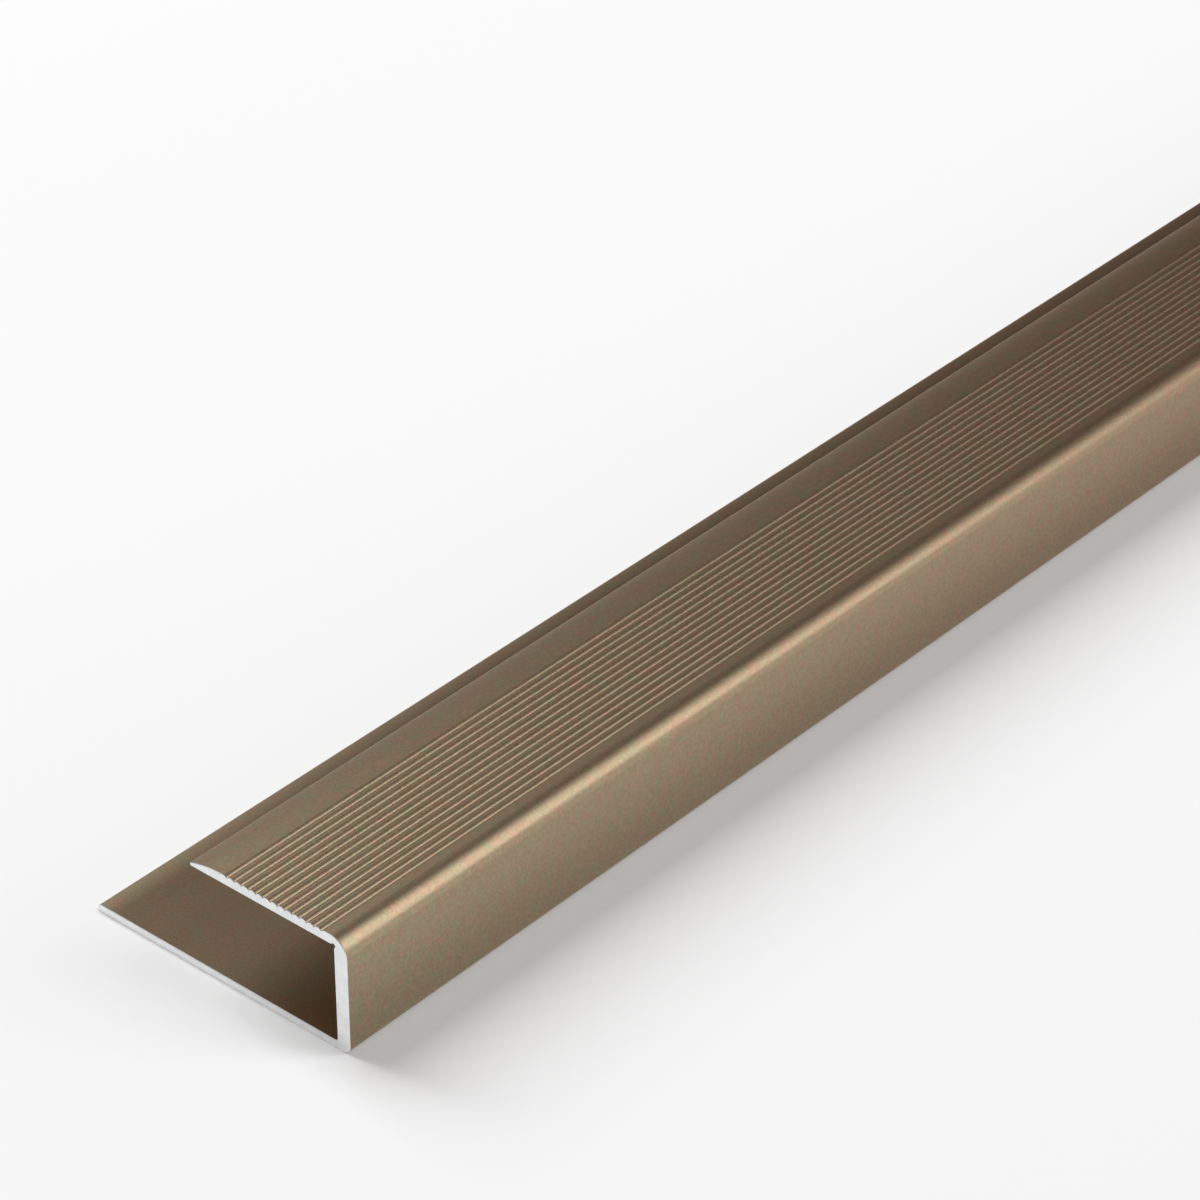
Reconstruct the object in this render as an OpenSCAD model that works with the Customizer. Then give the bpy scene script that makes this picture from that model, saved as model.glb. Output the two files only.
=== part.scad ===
// Edge trim profile: one extruded aluminium section, sawn square at both ends.
// It closes the cut edge of a floor covering. The wide thin bottom leg lies under the
// boards, the web stands against their edge, and the top leg covers them with a band
// of fine grip ribs that run the whole length.
//
// Origin: middle of the underside. Y runs along the length, X across the section from
// the bottom leg's free edge to the web's outer face, and Z up.

/* [Stock] */
// Length of the piece as it is sold
stock_length = 900; // [100:50:2700]

/* [Section] */
// Width of the bottom leg, from its free edge to the web's outer face
base_width = 33.4; // [26:0.2:40]
// Width of the top leg, from its nose to the web's outer face
face_width = 20; // [17.5:0.5:24]
// Height of the clear channel between the two legs
channel_height = 11.1; // [7:0.1:16]
// Thickness of the bottom leg
base_thickness = 0.9; // [0.8:0.05:1.6]
// Thickness of the web
web_thickness = 1.6; // [1.2:0.1:2]
// Thickness of the top leg under the crests of its ribs
face_thickness = 1.1; // [0.9:0.05:1.6]

/* [Edges] */
// Outer radius where the top leg rolls over into the web
shoulder_radius = 2; // [1:0.1:2.4]
// Outer radius where the web meets the bottom leg
heel_radius = 1; // [0.4:0.1:1.4]
// Fillet in the channel, between the bottom leg and the web
inner_fillet = 0.3; // [0.1:0.05:0.8]
// Radius of the small round relief in the channel's upper corner
relief_radius = 0.25; // [0.15:0.05:0.4]
// Radius of the top leg's nose
nose_radius = 0.2; // [0.1:0.05:0.3]
// Radius of the upper edge at the bottom leg's free end
lip_radius = 0.7; // [0.2:0.05:0.75]

/* [Grip ribs] */
// Number of grooves between the ribs and beside the outer ones
groove_count = 14; // [4:1:15]
// Distance from one groove to the next
groove_pitch = 0.925; // [0.6:0.025:1]
// Depth of a groove below the crests
groove_depth = 0.19; // [0.1:0.01:0.3]
// Distance from the web's outer face to the nearest groove
groove_setback = 3.1; // [3:0.1:3.6]

/* [Hidden] */
$fn = 96;

// Play that carries one outline into another, or past it, so that no edges coincide
overlap = 0.05;

web_face = base_width / 2;
base_edge = web_face - base_width;
web_inside = web_face - web_thickness;
nose_edge = web_face - face_width;
channel_top = base_thickness + channel_height;
crest = channel_top + face_thickness;

// Each rib is an arc whose ends meet its neighbours at the bottom of the grooves
rib_radius = (pow(groove_pitch / 2, 2) + pow(groove_depth, 2)) / (2 * groove_depth);
// The outer crests, half a pitch beyond the outer grooves
inner_crest = web_face - groove_setback + groove_pitch / 2;
outer_crest = inner_crest - groove_count * groove_pitch;

// The crown falls from the outer crest in one arc that runs smoothly into the nose
nose_x = nose_edge + nose_radius;
nose_z = channel_top + nose_radius;
crown_run = outer_crest - nose_x;
crown_rise = crest - nose_z;
crown_radius = (pow(crown_run, 2) + pow(crown_rise, 2) - pow(nose_radius, 2))
    / (2 * (crown_rise - nose_radius));
// Place along the section where that arc touches the nose
crown_start = nose_x - nose_radius * crown_run / (crown_radius - nose_radius);

// Area between the square corner at +x +y and the arc about the origin that rounds it
module corner_area(radius) {
    difference() {
        square(radius + overlap);
        circle(r = radius);
    }
}

// Thin bottom leg, with its free edge rounded off above
module base_leg() {
    difference() {
        translate([base_edge, 0])
            square([base_width, base_thickness]);
        translate([base_edge + lip_radius, base_thickness - lip_radius])
            mirror([1, 0])
                corner_area(lip_radius);
    }
}

// Upright web, with the fillet at its foot inside the channel
module web() {
    translate([web_inside, 0])
        square([web_thickness, crest]);
    translate([web_inside - inner_fillet, base_thickness + inner_fillet])
        mirror([0, 1])
            corner_area(inner_fillet);
}

// Nose and crown of the top leg, up to the first crest
module crown() {
    translate([nose_x, nose_z])
        circle(r = nose_radius);
    translate([nose_x, channel_top])
        square([crown_run, nose_radius]);
    intersection() {
        translate([outer_crest, crest - crown_radius])
            circle(r = crown_radius, $fn = 720);
        translate([crown_start, nose_z])
            square([outer_crest - crown_start, crest - nose_z]);
    }
}

// Row of ribs, one arc each, with a half rib at either end of the row
module ribs() {
    plate_top = crest - groove_depth - overlap;
    translate([outer_crest, channel_top])
        square([inner_crest - outer_crest, plate_top - channel_top]);
    intersection() {
        for (i = [0 : groove_count])
            translate([outer_crest + i * groove_pitch, crest - rib_radius])
                circle(r = rib_radius);
        translate([outer_crest, plate_top - overlap])
            square([inner_crest - outer_crest, groove_depth + 3 * overlap]);
    }
}

// Smooth strip between the ribs and the shoulder
module strip() {
    translate([inner_crest, channel_top])
        square([web_face - inner_crest, face_thickness]);
}

// The whole section, drawn with its up direction along +y
module section() {
    difference() {
        union() {
            base_leg();
            web();
            crown();
            ribs();
            strip();
        }
        translate([web_face - shoulder_radius, crest - shoulder_radius])
            corner_area(shoulder_radius);
        translate([web_face - heel_radius, heel_radius])
            mirror([0, 1])
                corner_area(heel_radius);
        translate([web_inside - relief_radius / 3, channel_top - relief_radius / 3])
            circle(r = relief_radius);
    }
}

module trim_profile() {
    color("#8f7d66")
        translate([0, stock_length / 2, 0])
            rotate([90, 0, 0])
                linear_extrude(height = stock_length)
                    section();
}

trim_profile();
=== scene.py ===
import math

import bmesh
import bpy
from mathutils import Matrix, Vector


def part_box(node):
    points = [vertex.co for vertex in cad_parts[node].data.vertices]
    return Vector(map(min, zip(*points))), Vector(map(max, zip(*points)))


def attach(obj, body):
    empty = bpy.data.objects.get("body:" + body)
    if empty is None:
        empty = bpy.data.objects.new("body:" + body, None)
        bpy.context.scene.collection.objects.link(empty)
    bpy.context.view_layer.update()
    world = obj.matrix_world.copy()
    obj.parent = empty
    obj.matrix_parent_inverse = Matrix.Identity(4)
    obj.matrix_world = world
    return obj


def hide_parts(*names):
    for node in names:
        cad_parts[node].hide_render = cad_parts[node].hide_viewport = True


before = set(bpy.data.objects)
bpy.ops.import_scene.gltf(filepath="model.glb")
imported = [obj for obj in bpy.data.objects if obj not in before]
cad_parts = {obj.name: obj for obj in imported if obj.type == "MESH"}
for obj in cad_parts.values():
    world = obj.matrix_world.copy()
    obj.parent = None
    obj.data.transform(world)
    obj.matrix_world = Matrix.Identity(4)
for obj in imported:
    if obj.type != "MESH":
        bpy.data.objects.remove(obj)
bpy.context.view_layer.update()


# Outline of the die
# The section as the opening of the extrusion die gives it: a wide thin bottom leg, an
# upright web, a rounded shoulder and a shorter crowned top leg. It is drawn flat, across
# in x and up in y, and left open where the row of ribs closes it.
mm = 0.001
low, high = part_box("trim_profile")
base_edge, near_end, floor_level = low
web_face, far_end, crest = high
stock_length = far_end - near_end
face_width = 20 * mm
base_thickness = 0.9 * mm
web_thickness = 1.6 * mm
face_thickness = 1.1 * mm
shoulder_radius = 2 * mm
heel_radius = 1 * mm
inner_fillet = 0.3 * mm
relief_radius = 0.25 * mm
nose_radius = 0.2 * mm
lip_radius = 0.7 * mm
groove_count = 14
groove_pitch = 0.925 * mm
groove_depth = 0.19 * mm
groove_setback = 3.1 * mm

web_inside = web_face - web_thickness
channel_top = crest - face_thickness
nose_x = web_face - face_width + nose_radius
nose_y = channel_top + nose_radius
inner_crest = web_face - groove_setback + groove_pitch / 2
outer_crest = inner_crest - groove_count * groove_pitch

# A rib is an arc from the bottom of one groove to the bottom of the next
rib_radius = ((groove_pitch / 2) ** 2 + groove_depth**2) / (2 * groove_depth)
rib_half_angle = math.degrees(math.asin(groove_pitch / 2 / rib_radius))
rib_centre = crest - rib_radius
rib_steps = 16
half_rib_steps = rib_steps // 2

# The crown runs in one arc from the outer crest down into the nose
crown_run = outer_crest - nose_x
crown_rise = crest - nose_y
crown_radius = (crown_run**2 + crown_rise**2 - nose_radius**2) / (2 * (crown_rise - nose_radius))
crown_angle = math.degrees(math.acos(-crown_run / (crown_radius - nose_radius)))

# The relief is a small bore on the channel's upper corner, open towards the channel
relief_x = web_inside - relief_radius / 3
relief_y = channel_top - relief_radius / 3
relief_reach = math.degrees(math.acos(1 / 3))


def arc(centre_x, centre_y, radius, start, end, steps):
    """Points of an arc, both ends included, with its angles in degrees from +x."""
    angles = [math.radians(start + (end - start) * i / steps) for i in range(steps + 1)]
    return [(centre_x + radius * math.cos(a), centre_y + radius * math.sin(a)) for a in angles]


outline = [
    *arc(inner_crest, rib_centre, rib_radius, 90 + rib_half_angle, 90, half_rib_steps),
    *arc(web_face - shoulder_radius, crest - shoulder_radius, shoulder_radius, 90, 0, 32),
    *arc(web_face - heel_radius, heel_radius, heel_radius, 0, -90, 20),
    (base_edge, floor_level),
    *arc(base_edge + lip_radius, base_thickness - lip_radius, lip_radius, 180, 90, 16),
    *arc(web_inside - inner_fillet, base_thickness + inner_fillet, inner_fillet, -90, 0, 12),
    *arc(relief_x, relief_y, relief_radius, -relief_reach, 90 + relief_reach, 24),
    *arc(nose_x, nose_y, nose_radius, 270, crown_angle, 16),
    *arc(outer_crest, crest - crown_radius, crown_radius, crown_angle, 90, 24),
    *arc(outer_crest, rib_centre, rib_radius, 90, 90 - rib_half_angle, half_rib_steps),
]
die_outline = bpy.data.meshes.new("die_outline")
die_outline.from_pydata(
    [(x, y, 0) for x, y in outline],
    [(i, i + 1) for i in range(len(outline) - 1)],
    [],
)


# Extrusion press
# The press pushes the metal through the die in one straight length. The ribs between
# the grooves are all one arc, set out in a row at the groove pitch.


def add_node(tree, kind, inputs=None, **settings):
    """Adds a node with its settings, and sets or links its inputs by name or number."""
    node = tree.nodes.new(kind)
    for name, value in settings.items():
        setattr(node, name, value)
    for socket, value in (inputs or {}).items():
        if isinstance(value, bpy.types.NodeSocket):
            tree.links.new(value, node.inputs[socket])
        else:
            node.inputs[socket].default_value = value
    return node


def add_maths(tree, operation, *values):
    """Adds a Math node and returns its output."""
    return add_node(tree, "ShaderNodeMath", dict(enumerate(values)), operation=operation).outputs[0]


def add_sockets(tree, inputs, outputs):
    """Gives a node group its named inputs and outputs."""
    for name, kind in inputs.items():
        tree.interface.new_socket(name, in_out="INPUT", socket_type="NodeSocket" + kind)
    for name, kind in outputs.items():
        tree.interface.new_socket(name, in_out="OUTPUT", socket_type="NodeSocket" + kind)


press = bpy.data.node_groups.new("Ribbed Extrusion", "GeometryNodeTree")
add_sockets(
    press,
    {
        "Open Outline": "Geometry",
        "Stock Length": "Float",
        "Near End": "Float",
        "Rib Count": "Int",
        "Rib Pitch": "Float",
        "Rib Radius": "Float",
        "Rib Half Angle": "Float",
        "Rib Steps": "Int",
        "First Rib": "Vector",
        "Film": "Material",
        "Sawn Metal": "Material",
    },
    {"Stock": "Geometry"},
)
given = press.nodes.new("NodeGroupInput").outputs
rib_step = add_node(press, "ShaderNodeCombineXYZ", {"X": given["Rib Pitch"]})
rib_row = add_node(
    press,
    "GeometryNodeMeshLine",
    {
        "Count": given["Rib Count"],
        "Start Location": given["First Rib"],
        "Offset": rib_step.outputs[0],
    },
)
rib_arc = add_node(
    press,
    "GeometryNodeCurveArc",
    {
        "Resolution": add_maths(press, "ADD", given["Rib Steps"], 1.0),
        "Radius": given["Rib Radius"],
        "Start Angle": add_maths(press, "SUBTRACT", math.pi / 2, given["Rib Half Angle"]),
        "Sweep Angle": add_maths(press, "MULTIPLY", given["Rib Half Angle"], 2.0),
    },
)
ribs = add_node(
    press,
    "GeometryNodeInstanceOnPoints",
    {"Points": rib_row.outputs["Mesh"], "Instance": rib_arc.outputs["Curve"]},
)
rib_curves = add_node(press, "GeometryNodeRealizeInstances", {"Geometry": ribs.outputs[0]})
rib_edges = add_node(press, "GeometryNodeCurveToMesh", {"Curve": rib_curves.outputs[0]})
all_edges = add_node(press, "GeometryNodeJoinGeometry", {"Geometry": given["Open Outline"]})
press.links.new(rib_edges.outputs[0], all_edges.inputs[0])
groove_join = 0.002 * mm
closed_edges = add_node(
    press,
    "GeometryNodeMergeByDistance",
    {"Geometry": all_edges.outputs[0], "Distance": groove_join},
)
section_curve = add_node(press, "GeometryNodeMeshToCurve", {"Mesh": closed_edges.outputs[0]})
section_face = add_node(
    press, "GeometryNodeFillCurve", {"Curve": section_curve.outputs[0]}, mode="NGONS"
)
near_place = add_node(press, "ShaderNodeCombineXYZ", {"Y": given["Near End"]})
near_cut = add_node(
    press,
    "GeometryNodeTransform",
    {
        "Geometry": section_face.outputs[0],
        "Translation": near_place.outputs[0],
        "Rotation": (math.pi / 2, 0, 0),
    },
)
stroke = add_node(press, "ShaderNodeCombineXYZ", {"Y": given["Stock Length"]})
pushed = add_node(
    press,
    "GeometryNodeExtrudeMesh",
    {"Mesh": near_cut.outputs[0], "Offset": stroke.outputs[0], "Individual": False},
    mode="FACES",
)
with_near_cut = add_node(press, "GeometryNodeJoinGeometry", {"Geometry": near_cut.outputs[0]})
press.links.new(pushed.outputs["Mesh"], with_near_cut.inputs[0])
cut_join = 0.0001 * mm
solid = add_node(
    press,
    "GeometryNodeMergeByDistance",
    {"Geometry": with_near_cut.outputs[0], "Distance": cut_join},
)
smooth = add_node(press, "GeometryNodeSetShadeSmooth", {"Geometry": solid.outputs[0]})
whole = add_node(press, "GeometryNodeRealizeInstances", {"Geometry": smooth.outputs[0]})
filmed = add_node(
    press, "GeometryNodeSetMaterial", {"Geometry": whole.outputs[0], "Material": given["Film"]}
)
normal = add_node(press, "GeometryNodeInputNormal")
normal_parts = add_node(press, "ShaderNodeSeparateXYZ", {"Vector": normal.outputs[0]})
towards_end = add_maths(press, "ABSOLUTE", normal_parts.outputs["Y"])
least_towards_end = 0.9
is_end = add_node(
    press,
    "FunctionNodeCompare",
    {"A": towards_end, "B": least_towards_end},
    operation="GREATER_THAN",
)
bare_ends = add_node(
    press,
    "GeometryNodeSetMaterial",
    {
        "Geometry": filmed.outputs[0],
        "Selection": is_end.outputs[0],
        "Material": given["Sawn Metal"],
    },
)
add_node(press, "NodeGroupOutput", {"Stock": bare_ends.outputs[0]})


# Bronze anodising
# The length is etched to a satin and anodised before it is sawn, so a thin bronze film
# covers every drawn face. Under it the metal keeps the faint straight lines of the die and
# the fine grain of the etching.
tool_lines = bpy.data.node_groups.new("Tool Lines", "ShaderNodeTree")
add_sockets(tool_lines, {"Across": "Vector", "Line Width": "Float"}, {"Height": "Float"})
given = tool_lines.nodes.new("NodeGroupInput").outputs
line_noise = add_node(
    tool_lines,
    "ShaderNodeTexNoise",
    {
        "Vector": given["Across"],
        "Scale": add_maths(tool_lines, "DIVIDE", 1.0, given["Line Width"]),
        "Detail": 3.0,
        "Roughness": 0.6,
    },
)
line_height = add_node(
    tool_lines,
    "ShaderNodeMapRange",
    {"Value": line_noise.outputs[0], "From Min": 0.3, "From Max": 0.7},
)
add_node(tool_lines, "NodeGroupOutput", {"Height": line_height.outputs[0]})

clouded = bpy.data.node_groups.new("Clouded Tint", "ShaderNodeTree")
add_sockets(
    clouded,
    {"Place": "Vector", "Cloud Size": "Float", "First Tint": "Color", "Second Tint": "Color"},
    {"Tint": "Color"},
)
given = clouded.nodes.new("NodeGroupInput").outputs
cloud_noise = add_node(
    clouded,
    "ShaderNodeTexNoise",
    {
        "Vector": given["Place"],
        "Scale": add_maths(clouded, "DIVIDE", 1.0, given["Cloud Size"]),
        "Detail": 3.0,
        "Roughness": 0.65,
    },
)
clouds = add_node(
    clouded,
    "ShaderNodeMapRange",
    {"Value": cloud_noise.outputs[0], "From Min": 0.34, "From Max": 0.66},
)
cloud_tint = add_node(
    clouded,
    "ShaderNodeMix",
    {"Factor": clouds.outputs[0], "A": given["First Tint"], "B": given["Second Tint"]},
    data_type="RGBA",
)
add_node(clouded, "NodeGroupOutput", {"Tint": cloud_tint.outputs["Result"]})

film = bpy.data.materials.new("bronze_anodising")
film.use_nodes = True
film_tree = film.node_tree
film_place = add_node(film_tree, "ShaderNodeTexCoord").outputs["Object"]
line_stretch = 0.003
drawn_place = add_node(
    film_tree, "ShaderNodeMapping", {"Vector": film_place, "Scale": (1, line_stretch, 1)}
)
die_lines = add_node(
    film_tree,
    "ShaderNodeGroup",
    {"Across": drawn_place.outputs[0], "Line Width": 0.35 * mm},
    node_tree=tool_lines,
)

# Over the last stretch at both ends the film is painted lighter and greener, a painted light that
# stands for the ends being lit more than the middle. Fine redder and greener flecks stand for its
# mottling.
film_parts = add_node(film_tree, "ShaderNodeSeparateXYZ", {"Vector": film_place})
painted_end_light_reach = 160 * mm
from_middle = add_node(
    film_tree,
    "ShaderNodeMapRange",
    {
        "Value": add_maths(film_tree, "ABSOLUTE", film_parts.outputs["Y"]),
        "From Min": stock_length / 2 - painted_end_light_reach,
        "From Max": stock_length / 2,
    },
)
# Painted light: towards both ends the film's colour turns lighter and greener.
film_base_and_painted_end_light = add_node(
    film_tree,
    "ShaderNodeMix",
    {
        "Factor": from_middle.outputs[0],
        "A": (0.396, 0.278, 0.185, 1),
        "B": (0.408, 0.320, 0.214, 1),
    },
    data_type="RGBA",
)
flecks = add_node(
    film_tree,
    "ShaderNodeGroup",
    {
        "Place": film_place,
        "Cloud Size": 1.4 * mm,
        "First Tint": (1.095, 0.94, 0.957, 1),
        "Second Tint": (0.9, 1.055, 0.982, 1),
    },
    node_tree=clouded,
)
flecked_tint = add_node(
    film_tree,
    "ShaderNodeMix",
    {"Factor": 1.0, "A": film_base_and_painted_end_light.outputs["Result"], "B": flecks.outputs["Tint"]},
    data_type="RGBA",
    blend_type="MULTIPLY",
)
grain_size = 0.3 * mm
etch_grain = add_node(
    film_tree,
    "ShaderNodeTexNoise",
    {"Vector": film_place, "Scale": 1 / grain_size, "Detail": 2.0},
)
etch_shade = add_node(
    film_tree,
    "ShaderNodeMapRange",
    {
        "Value": etch_grain.outputs[0],
        "From Min": 0.3,
        "From Max": 0.7,
        "To Min": 0.9,
        "To Max": 1.1,
    },
)
etched_tint = add_node(
    film_tree,
    "ShaderNodeMix",
    {"Factor": 1.0, "A": flecked_tint.outputs["Result"], "B": etch_shade.outputs[0]},
    data_type="RGBA",
    blend_type="MULTIPLY",
)

# The faces inside the channel and the bottom leg's underside are painted darker, a painted shade in
# the recess, and their film is a little smoother. The bottom leg's free edge is as light as the
# faces that show.
inside_web = add_node(
    film_tree,
    "ShaderNodeMapRange",
    {
        "Value": film_parts.outputs["X"],
        "From Min": web_inside + web_thickness / 2,
        "From Max": web_inside + relief_radius,
    },
)
below_face = add_node(
    film_tree,
    "ShaderNodeMapRange",
    {
        "Value": film_parts.outputs["Z"],
        "From Min": channel_top + nose_radius,
        "From Max": channel_top + nose_radius / 2,
    },
)
past_lip = add_node(
    film_tree,
    "ShaderNodeMapRange",
    {
        "Value": film_parts.outputs["X"],
        "From Min": base_edge + lip_radius,
        "From Max": base_edge + 4 * lip_radius,
    },
)
under_face = add_maths(film_tree, "MULTIPLY", inside_web.outputs[0], below_face.outputs[0])
channel_painted_shade = add_maths(film_tree, "MULTIPLY", under_face, past_lip.outputs[0])
# Painted shade: the channel's faces are multiplied darker here.
film_tint = add_node(
    film_tree,
    "ShaderNodeMix",
    {
        "Factor": channel_painted_shade,
        "A": etched_tint.outputs["Result"],
        "B": (0.74, 0.69, 0.68, 1),
    },
    data_type="RGBA",
    blend_type="MULTIPLY",
)
line_roughness = add_node(
    film_tree,
    "ShaderNodeMapRange",
    {"Value": die_lines.outputs["Height"], "To Min": 0.365, "To Max": 0.38},
)
channel_roughness_change = -0.04
film_roughness = add_maths(
    film_tree, "MULTIPLY_ADD", channel_painted_shade, channel_roughness_change, line_roughness.outputs[0]
)
line_share = 0.08
faint_lines = add_maths(film_tree, "MULTIPLY", die_lines.outputs["Height"], line_share)
film_height = add_maths(film_tree, "ADD", faint_lines, etch_grain.outputs[0])
grain_depth = 0.004 * mm
film_bump = add_node(
    film_tree, "ShaderNodeBump", {"Height": film_height, "Distance": grain_depth}
)
film_shader = film_tree.nodes["Principled BSDF"]
film_shader.inputs["Metallic"].default_value = 1.0
film_tree.links.new(film_tint.outputs["Result"], film_shader.inputs["Base Color"])
film_tree.links.new(film_roughness, film_shader.inputs["Roughness"])
film_tree.links.new(film_bump.outputs[0], film_shader.inputs["Normal"])


# Sawn ends
# Both ends are cut square after anodising, so they show bare bright metal. The cut is taken
# to be a circular saw's, with its blade beside the web, and has its faint arcs.
blade_radius = 210 * mm
blade_right = 0.8 * blade_radius
blade_up = 0.5 * blade_radius
sawn = bpy.data.materials.new("sawn_aluminium")
sawn.use_nodes = True
sawn_tree = sawn.node_tree
sawn_place = add_node(sawn_tree, "ShaderNodeTexCoord").outputs["Object"]
from_blade = add_node(
    sawn_tree,
    "ShaderNodeMapping",
    {
        "Vector": sawn_place,
        "Location": (-web_face - blade_right, 0, -blade_up),
        "Scale": (1, 0, 1),
    },
)
blade_distance = add_node(
    sawn_tree, "ShaderNodeVectorMath", {"Vector": from_blade.outputs[0]}, operation="LENGTH"
)
sawn_parts = add_node(sawn_tree, "ShaderNodeSeparateXYZ", {"Vector": sawn_place})
arc_stretch = 0.03
across_arcs = add_node(
    sawn_tree,
    "ShaderNodeCombineXYZ",
    {
        "X": blade_distance.outputs["Value"],
        "Y": sawn_parts.outputs["Y"],
        "Z": add_maths(sawn_tree, "MULTIPLY", sawn_parts.outputs["Z"], arc_stretch),
    },
)
saw_lines = add_node(
    sawn_tree,
    "ShaderNodeGroup",
    {"Across": across_arcs.outputs[0], "Line Width": 0.3 * mm},
    node_tree=tool_lines,
)
sawn_clouds = add_node(
    sawn_tree,
    "ShaderNodeGroup",
    {
        "Place": sawn_place,
        "Cloud Size": 1.5 * mm,
        "First Tint": (0.84, 0.86, 0.87, 1),
        "Second Tint": (0.94, 0.95, 0.94, 1),
    },
    node_tree=clouded,
)
sawn_roughness = add_node(
    sawn_tree,
    "ShaderNodeMapRange",
    {"Value": saw_lines.outputs["Height"], "To Min": 0.38, "To Max": 0.5},
)
saw_depth = 0.008 * mm
sawn_bump = add_node(
    sawn_tree, "ShaderNodeBump", {"Height": saw_lines.outputs["Height"], "Distance": saw_depth}
)
sawn_shader = sawn_tree.nodes["Principled BSDF"]
sawn_shader.inputs["Metallic"].default_value = 1.0
sawn_tree.links.new(sawn_clouds.outputs["Tint"], sawn_shader.inputs["Base Color"])
sawn_tree.links.new(sawn_roughness.outputs[0], sawn_shader.inputs["Roughness"])
sawn_tree.links.new(sawn_bump.outputs[0], sawn_shader.inputs["Normal"])


# Finished stock
# One length of stock: pressed, anodised and sawn. A bare rim, too thin to be made out in
# a picture, stands for the burr of both cuts being filed off.
die_outline.materials.append(film)
trim = bpy.data.objects.new("extruded_trim", die_outline)
bpy.context.collection.objects.link(trim)
pressing = trim.modifiers.new("Press", "NODES")
pressing.node_group = press
press_settings = {
    "Stock Length": stock_length,
    "Near End": near_end,
    "Rib Count": groove_count - 1,
    "Rib Pitch": groove_pitch,
    "Rib Radius": rib_radius,
    "Rib Half Angle": math.radians(rib_half_angle),
    "Rib Steps": rib_steps,
    "First Rib": (outer_crest + groove_pitch, rib_centre, 0),
    "Film": film,
    "Sawn Metal": sawn,
}
for item in press.interface.items_tree:
    if item.item_type == "SOCKET" and item.name in press_settings:
        pressing[item.identifier] = press_settings[item.name]
evaluated = trim.evaluated_get(bpy.context.evaluated_depsgraph_get())
trim_mesh = bpy.data.meshes.new_from_object(evaluated)
trim.modifiers.remove(pressing)
trim.data = trim_mesh

rim_width = 0.05 * mm
sharp_angle = math.radians(25)
sawn_slot = list(trim_mesh.materials).index(sawn)
shape = bmesh.new()
shape.from_mesh(trim_mesh)
bmesh.ops.recalc_face_normals(shape, faces=shape.faces)
cut_edges = [
    edge
    for edge in shape.edges
    if {face.material_index == sawn_slot for face in edge.link_faces} == {True, False}
]
bmesh.ops.bevel(
    shape,
    geom=cut_edges,
    offset=rim_width,
    offset_type="OFFSET",
    segments=1,
    affect="EDGES",
    clamp_overlap=False,
    material=sawn_slot,
)
for edge in shape.edges:
    edge.smooth = edge.calc_face_angle() < sharp_angle
shape.to_mesh(trim_mesh)
shape.free()
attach(trim, "root")
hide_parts("trim_profile")


# Floor
# A wide pale sheet that the stock lies on. A little of its white is its own, so that the
# shadow on it stays light. It is clear from below, so that the underside can be seen.
floor_side = 60
floor_gap = 0.02 * mm
floor_mesh = bpy.data.meshes.new("floor")
floor_mesh.from_pydata(
    [(x * floor_side / 2, y * floor_side / 2, 0) for x, y in ((-1, -1), (1, -1), (1, 1), (-1, 1))],
    [],
    [(0, 1, 2, 3)],
)
floor = bpy.data.objects.new("floor", floor_mesh)
floor.location.z = floor_level - floor_gap
bpy.context.collection.objects.link(floor)
floor_paint = bpy.data.materials.new("floor_white")
floor_paint.use_nodes = True
floor_tree = floor_paint.node_tree
floor_shader = floor_tree.nodes["Principled BSDF"]
floor_shader.inputs["Base Color"].default_value = (0.945, 0.955, 0.96, 1)
floor_shader.inputs["Roughness"].default_value = 0.9
floor_shader.inputs["Specular IOR Level"].default_value = 0.0
own_white = add_node(floor_tree, "ShaderNodeEmission")
own_share = 0.2
ray = add_node(floor_tree, "ShaderNodeLightPath").outputs
seen = add_maths(floor_tree, "ADD", ray["Is Camera Ray"], ray["Is Glossy Ray"])
seen_or_through = add_maths(floor_tree, "ADD", seen, ray["Is Transmission Ray"])
white_share = add_maths(floor_tree, "MULTIPLY", seen_or_through, own_share)
floor_mix = add_node(
    floor_tree,
    "ShaderNodeMixShader",
    {0: white_share, 1: floor_shader.outputs[0], 2: own_white.outputs[0]},
)
from_below = add_node(floor_tree, "ShaderNodeNewGeometry").outputs["Backfacing"]
clear = add_node(floor_tree, "ShaderNodeBsdfTransparent")
floor_look = add_node(
    floor_tree,
    "ShaderNodeMixShader",
    {0: from_below, 1: floor_mix.outputs[0], 2: clear.outputs[0]},
)
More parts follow.
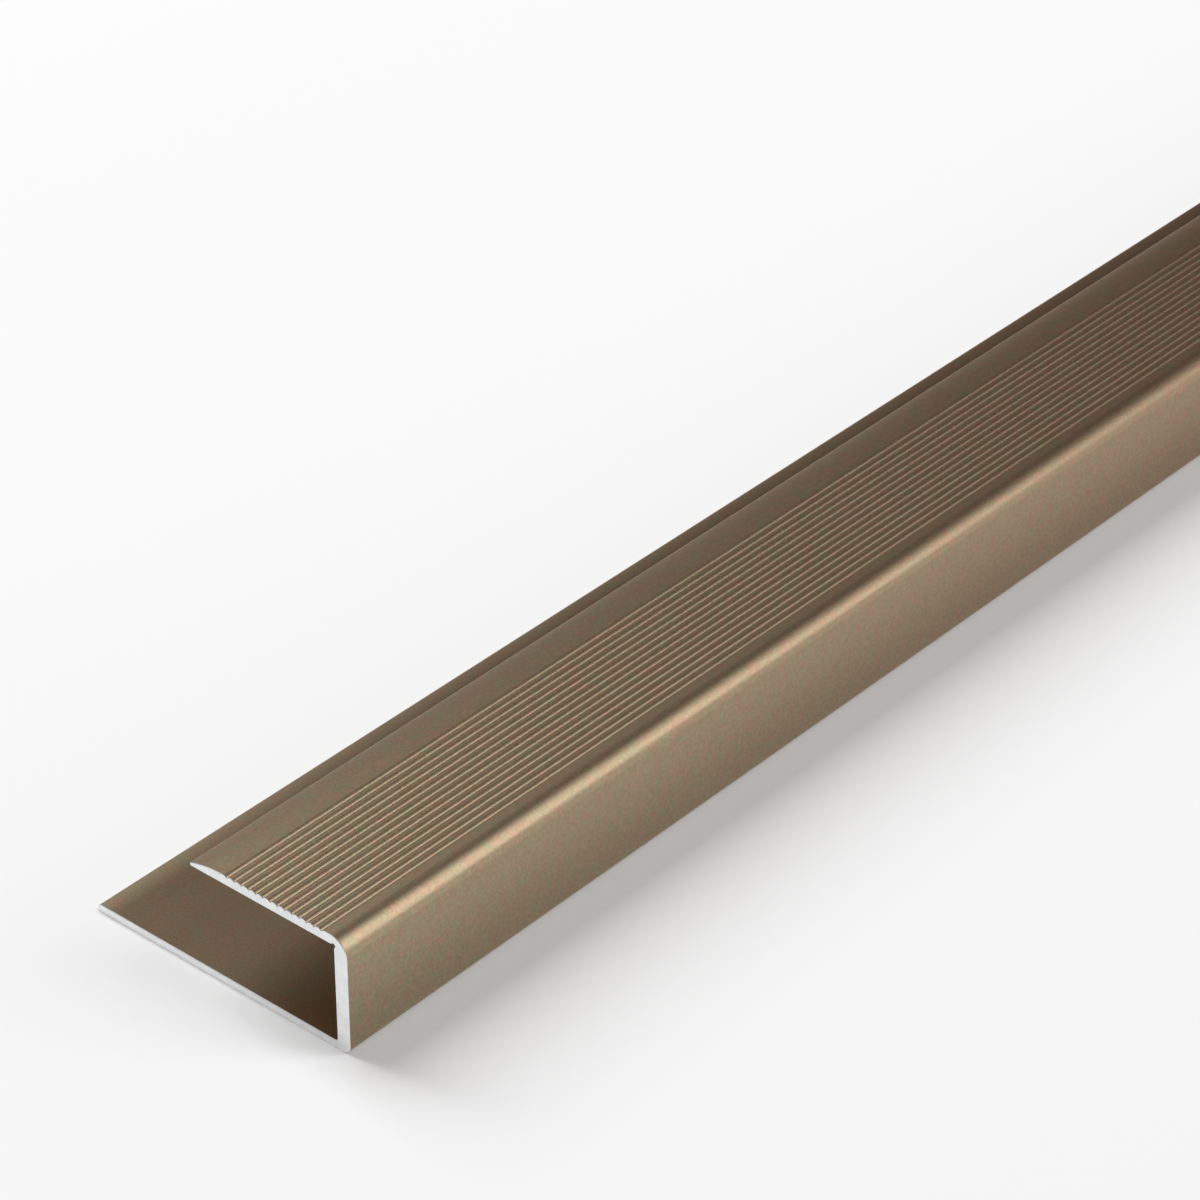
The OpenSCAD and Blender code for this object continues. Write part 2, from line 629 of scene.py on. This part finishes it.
floor_tree.links.new(floor_look.outputs[0], floor_tree.nodes["Material Output"].inputs["Surface"])
floor.data.materials.append(floor_paint)


# Light
# A dim warm room, a large soft lamp on the left and a tall one behind on the right. Both
# are at a plain level, at which a colour renders about as it is written.
world = bpy.data.worlds.new("studio")
bpy.context.scene.world = world
world.use_nodes = True
background = world.node_tree.nodes["Background"]
background.inputs["Color"].default_value = (1, 0.87, 0.84, 1)
background.inputs["Strength"].default_value = 0.1

aim = Vector((-8.955 * mm, near_end + 64.66 * mm, 6.5 * mm))
lamp_distance = 2.5


def direction(azimuth, elevation):
    """Way out from the near end in degrees; azimuth 0 is behind it and 90 on its right."""
    turn, tilt = math.radians(azimuth), math.radians(elevation)
    return Vector((math.sin(turn) * math.cos(tilt), math.cos(turn) * math.cos(tilt), math.sin(tilt)))


def soft_lamp(name, azimuth, elevation, watts, width, height):
    """Soft lamp aimed at the near end."""
    lamp = bpy.data.lights.new(name, "AREA")
    lamp.energy = watts
    lamp.shape = "RECTANGLE"
    lamp.size = width
    lamp.size_y = height
    holder = bpy.data.objects.new(name, lamp)
    bpy.context.collection.objects.link(holder)
    outwards = direction(azimuth, elevation)
    holder.location = aim + outwards * lamp_distance
    holder.rotation_euler = outwards.to_track_quat("Z", "Y").to_euler()
    holder.visible_camera = False


soft_lamp("left", -88, 50, 64.5, 1.3, 2.3)
soft_lamp("right_back", 54, 37, 27, 0.9, 3.2)


# Camera
# It looks down on the near end from the front right through a long lens, as the photo's
# camera does.
camera_azimuth = 139.148
camera_elevation = 33.671
camera_distance = 457.81 * mm
camera_data = bpy.data.cameras.new("camera")
camera_data.sensor_width = 36
camera_data.lens = 132.99
camera_data.clip_start = 0.01
camera_data.clip_end = 100
camera = bpy.data.objects.new("camera", camera_data)
bpy.context.collection.objects.link(camera)
backwards = direction(camera_azimuth, camera_elevation)
camera.location = aim + backwards * camera_distance
camera.rotation_euler = (-backwards).to_track_quat("-Z", "Y").to_euler()
bpy.context.scene.camera = camera

bpy.context.scene.view_settings.view_transform = "Standard"
